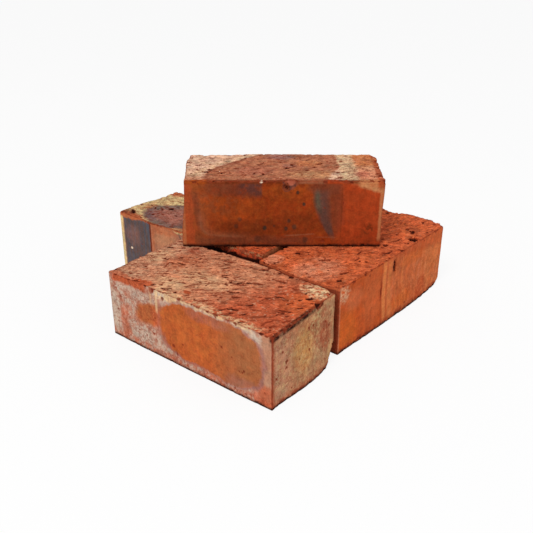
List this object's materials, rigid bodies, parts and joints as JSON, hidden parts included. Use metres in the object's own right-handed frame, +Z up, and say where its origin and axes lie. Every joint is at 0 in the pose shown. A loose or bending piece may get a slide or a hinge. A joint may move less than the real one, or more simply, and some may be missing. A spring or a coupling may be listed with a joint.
{
  "type": "small stack of clay bricks",
  "caption": "Loose stack of weathered solid clay bricks: some lie flat on the ground and one lies across them.",
  "frame": {"origin": "on the ground, under the middle of the box round the whole stack", "axes": "+X along the top brick, +Y away from the side that the front brick lies on, +Z up"},
  "size_m": [0.3896, 0.3788, 0.15],
  "materials": {
    "clay_front": "fired clay, matte, rough beds and smoother sides, kiln-flashed",
    "clay_right": "fired clay, matte, rough beds and smoother sides, kiln-flashed",
    "clay_back": "fired clay, matte, rough beds and smoother sides, kiln-flashed",
    "clay_top": "fired clay, matte, rough beds and smoother sides, kiln-flashed"
  },
  "bodies": {
    "root": {"brick_front": "clay_front", "brick_right": "clay_right", "brick_back": "clay_back", "brick_top": "clay_top"}
  },
  "joints": []
}
